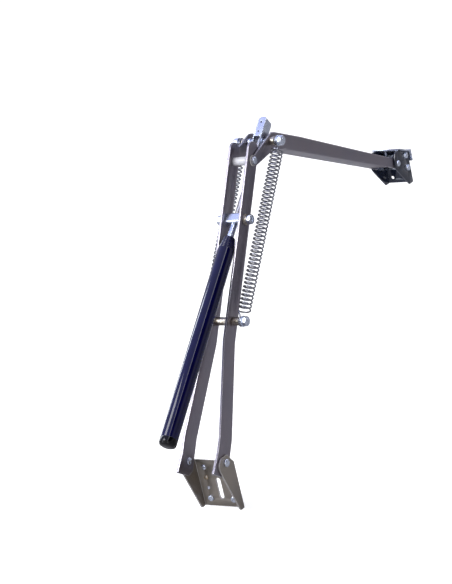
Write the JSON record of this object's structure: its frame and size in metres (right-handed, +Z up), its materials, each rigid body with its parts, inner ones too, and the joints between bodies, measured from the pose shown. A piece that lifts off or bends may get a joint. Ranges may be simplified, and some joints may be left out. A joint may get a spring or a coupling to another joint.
{
  "type": "linear actuator",
  "caption": "Automatic roof-vent opener: wax cylinder on a folding pair of legs pushes a lever arm, with tension springs, sill bracket and window clamp.",
  "frame": {"origin": "centre of the four sill screw holes, on the mounting face of the sill bracket's back plate, half way between the two legs", "axes": "+Z up along the back plate, +Y out of the mounting face into the sill, +X along every hinge pin from the left leg to the right leg"},
  "size_m": [0.0842, 0.8021, 0.4689],
  "materials": {
    "stainless": "satin",
    "zinc": "bright plated",
    "dark_zinc": "semi-gloss dark blue-black",
    "spacer_steel": "turned, slightly browned",
    "black_paint": "gloss black with a blue cast",
    "ground_steel": "ground",
    "spring_steel": "drawn wire",
    "bronze": "turned",
    "rubber": "matt",
    "nylon": "matt",
    "wax": "waxy"
  },
  "bodies": {
    "bracket": {"sill_bracket": "stainless", "foot_pins": "zinc", "foot_washers": "zinc", "sill_screws": "zinc"},
    "legs": {"leg_left": "stainless", "leg_right": "stainless", "knee_pin": "zinc", "knee_sleeve": "zinc", "knee_washers": "nylon", "lower_rod": "zinc", "lower_sleeve": "spacer_steel", "lower_spacers": "spacer_steel", "lower_washers": "zinc", "lower_nuts": "zinc", "trunnion_screws": "zinc", "trunnion_washers": "zinc"},
    "cylinder": {"trunnion_block": "zinc", "cylinder_neck": "zinc", "cylinder_head": "black_paint", "rod_guide": "bronze", "rod_seal": "rubber", "cylinder_tube": "black_paint", "end_cap": "black_paint", "wax_charge": "wax"},
    "piston": {"piston_rod": "ground_steel", "piston_cup": "rubber"},
    "arm": {"arm_channel": "stainless", "upper_rods": "zinc", "upper_collars": "zinc", "upper_spacers": "spacer_steel", "upper_washers": "zinc", "upper_nuts": "zinc"},
    "yoke": {"yoke": "zinc", "thrust_button": "bronze"},
    "springs": {"spring_left": "spring_steel", "spring_right": "spring_steel"},
    "clamp": {"window_bracket": "dark_zinc", "hook_plate": "zinc", "window_pin": "zinc", "window_washers": "nylon", "upper_clamp_bolt": "zinc", "upper_clamp_nut": "zinc", "lower_clamp_bolt": "zinc", "lower_clamp_nut": "zinc"}
  },
  "joints": [
    {"name": "foot_hinge", "type": "hinge", "parent": "bracket", "child": "legs", "pos_m": [0, -0.02, 0.034], "axis": [1, 0, 0], "range_deg": [-8, 70]},
    {"name": "knee_hinge", "type": "hinge", "parent": "legs", "child": "arm", "pos_m": [0, 0.23392, 0.38349], "axis": [-1, 0, 0], "range_deg": [0, 85], "deforming": ["spring_left", "spring_right"]},
    {"name": "cylinder_tilt", "type": "hinge", "parent": "legs", "child": "cylinder", "pos_m": [0, 0.18279, 0.31311], "axis": [-1, 0, 0], "range_deg": [-0.5, 26.34]},
    {"name": "piston_slide", "type": "slide", "parent": "cylinder", "child": "piston", "axis": [0, -0.7884, -0.6151], "range_m": [-0.0005, 0.064]},
    {"name": "yoke_tilt", "type": "hinge", "parent": "arm", "child": "yoke", "pos_m": [0, 0.28768, 0.39495], "axis": [1, 0, 0], "range_deg": [-0.5, 59.66]},
    {"name": "spring_tilt", "type": "hinge", "parent": "legs", "child": "springs", "pos_m": [0, 0.09638, 0.19418], "axis": [-1, 0, 0], "range_deg": [-0.5, 5.21]},
    {"name": "window_hinge", "type": "hinge", "parent": "arm", "child": "clamp", "pos_m": [0, 0.65417, 0.23715], "axis": [1, 0, 0], "range_deg": [-40, 35]}
  ],
  "couplings": [
    {"joint": "cylinder_tilt", "follows": "knee_hinge", "ratio": 0.304},
    {"joint": "piston_slide", "follows": "knee_hinge", "m_per_rad": 0.042793},
    {"joint": "yoke_tilt", "follows": "knee_hinge", "ratio": 0.696},
    {"joint": "spring_tilt", "follows": "knee_hinge", "ratio": 0.0554}
  ]
}
